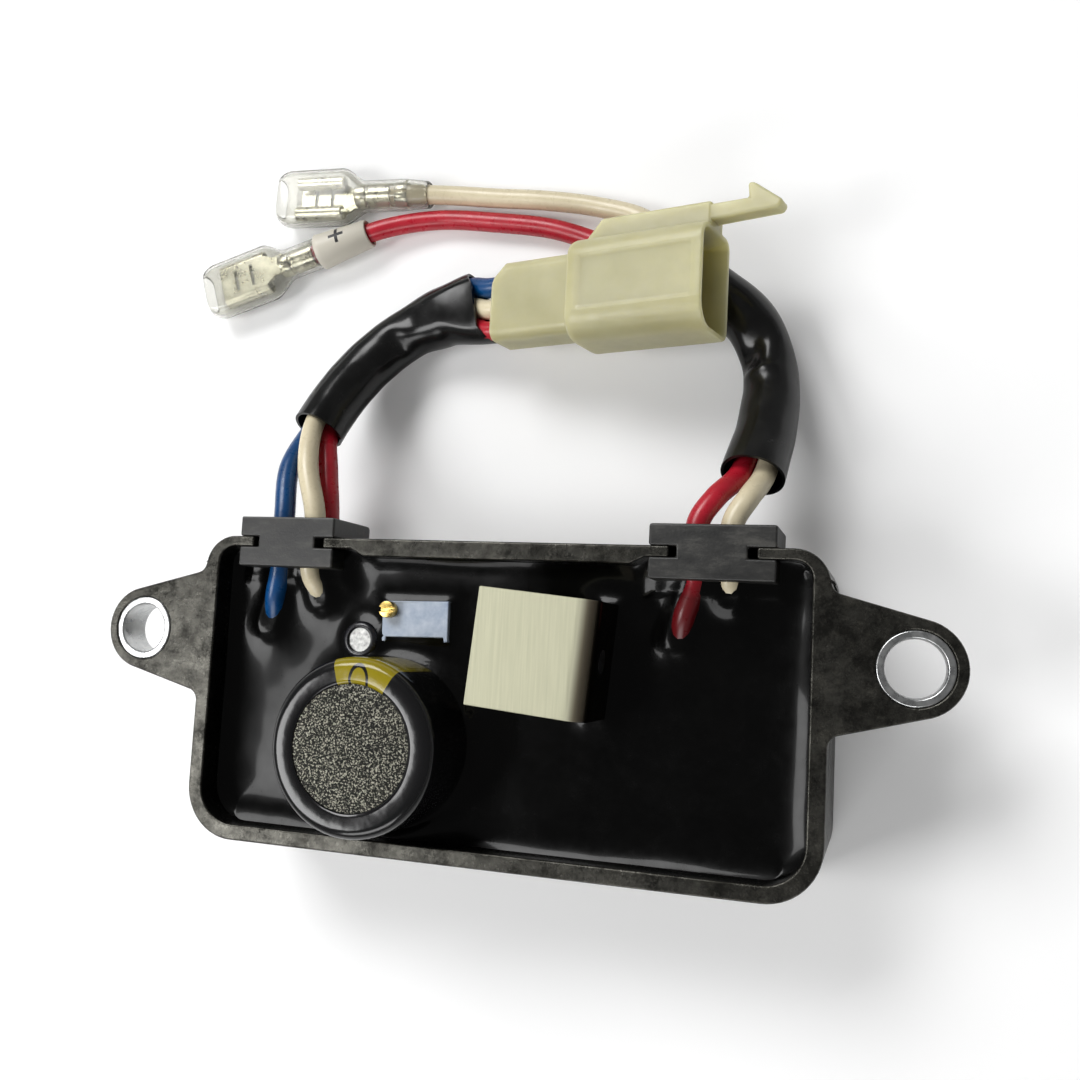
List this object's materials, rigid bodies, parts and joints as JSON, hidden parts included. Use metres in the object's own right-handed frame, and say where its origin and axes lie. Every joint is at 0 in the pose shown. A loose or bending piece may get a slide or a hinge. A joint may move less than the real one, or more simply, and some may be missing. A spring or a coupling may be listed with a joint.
{
  "type": "automatic voltage regulator",
  "caption": "Potted voltage regulator in a shallow black tray with bolt ears, a tall capacitor, a heat sink, a trimmer, a latched plug lead and a spade terminal lead.",
  "frame": {"origin": "under the middle of the tray with its grommets, on the plane of the closed back", "axes": "+X along the line of the fixing holes, +Y towards the leads, +Z out of the filled side"},
  "size_m": [0.1151, 0.1007, 0.0275],
  "materials": {
    "tray_plastic": "satin, slightly mottled",
    "bushing_zinc": "bright zinc plate",
    "board_laminate": "matte",
    "can_aluminium": "grainy",
    "film_black": "glossy shrunk film",
    "trimmer_plastic": "satin",
    "trimmer_brass": "bright",
    "sink_aluminium": "matte, rolled",
    "component_black": "matte",
    "screw_steel": "zinc plate",
    "resistor_coat": "satin lacquer",
    "potting_resin": "glossy, poured",
    "grommet_rubber": "matte",
    "wire_blue": "satin insulation",
    "wire_white": "satin insulation",
    "wire_red": "satin insulation",
    "lead_sleeve_black": "glossy",
    "plug_nylon": "satin, natural nylon",
    "contact_brass": "tinned brass",
    "terminal_tin": "tin plate",
    "boot_clear": "clear, soft",
    "marker_white": "satin"
  },
  "bodies": {
    "regulator": {"tray": "tray_plastic", "left_bushing": "bushing_zinc", "right_bushing": "bushing_zinc", "circuit_board": "board_laminate", "main_capacitor": "can_aluminium", "main_capacitor_sleeve": "film_black", "small_capacitor": "can_aluminium", "small_capacitor_sleeve": "film_black", "trimmer_body": "trimmer_plastic", "heat_sink": "sink_aluminium", "power_transistor": "component_black", "transistor_screw": "screw_steel", "rectifier_diodes": "component_black", "resistors": "resistor_coat", "control_chip": "component_black", "potting": "potting_resin", "left_grommet": "grommet_rubber", "right_grommet": "grommet_rubber", "left_blue_wire": "wire_blue", "left_white_wire": "wire_white", "left_red_wire": "wire_red", "right_red_wire": "wire_red", "right_white_wire": "wire_white", "left_sleeve": "lead_sleeve_black", "right_sleeve": "lead_sleeve_black", "plug_housing": "plug_nylon", "plug_contacts": "contact_brass", "red_terminal": "terminal_tin", "white_terminal": "terminal_tin", "red_boot": "boot_clear", "white_boot": "boot_clear", "marker_tube": "marker_white"},
    "adjuster": {"trimmer_screw": "trimmer_brass"}
  },
  "joints": [
    {"name": "adjuster_turn", "type": "hinge", "parent": "regulator", "child": "adjuster", "pos_m": [-0.0152, 0.00997, 0.0164], "axis": [0, 0, 1], "continuous": true}
  ]
}
